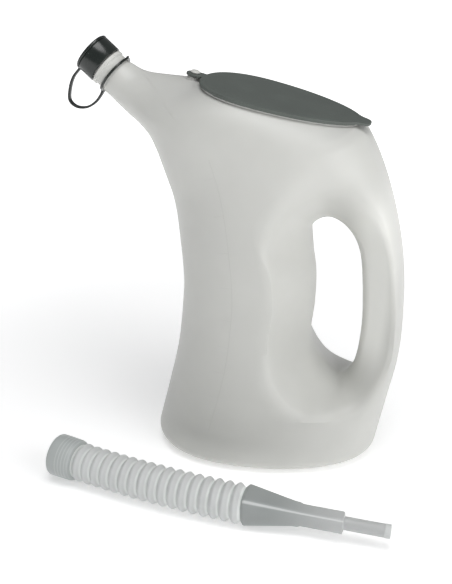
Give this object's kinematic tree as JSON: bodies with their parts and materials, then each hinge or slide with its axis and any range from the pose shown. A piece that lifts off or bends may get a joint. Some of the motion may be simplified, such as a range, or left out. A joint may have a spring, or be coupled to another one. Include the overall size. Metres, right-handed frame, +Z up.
{
  "type": "measuring jug",
  "caption": "Blown measuring jug with a side spout, an integral grip, a hinged lid, a tethered screw cap and a loose flexible pouring spout.",
  "frame": {"origin": "centre of the base, on the surface that the jug stands on", "axes": "+Z up, +X towards the handle side, the spout points to -X and up"},
  "size_m": [0.289, 0.203, 0.3229],
  "materials": {
    "milky_plastic": "satin, slightly translucent",
    "grey_plastic": "matt",
    "dark_plastic": "satin",
    "frosted_plastic": "frosted, translucent"
  },
  "bodies": {
    "jug": {"jug_body": "milky_plastic", "lid_ear": "grey_plastic", "flexible_spout": "frosted_plastic"},
    "lid": {"lid": "grey_plastic"},
    "tether": {"cap_tether": "dark_plastic"},
    "cap": {"spout_cap": "dark_plastic"}
  },
  "joints": [
    {"name": "lid_hinge", "type": "hinge", "parent": "jug", "child": "lid", "pos_m": [-0.05219, 0, 0.29792], "axis": [0, -1, 0], "range_deg": [0, 110]},
    {"name": "cap_lift", "type": "slide", "parent": "jug", "child": "tether", "axis": [-0.766, 0, 0.6428], "range_m": [0, 0.012], "deforming": ["cap_tether"]},
    {"name": "cap_turn", "type": "hinge", "parent": "tether", "child": "cap", "pos_m": [-0.12176, 0, 0.29319], "axis": [-0.766, 0, 0.6428], "range_deg": [0, 1080]}
  ],
  "couplings": [
    {"joint": "cap_lift", "follows": "cap_turn", "m_per_rad": 0.00063662}
  ]
}
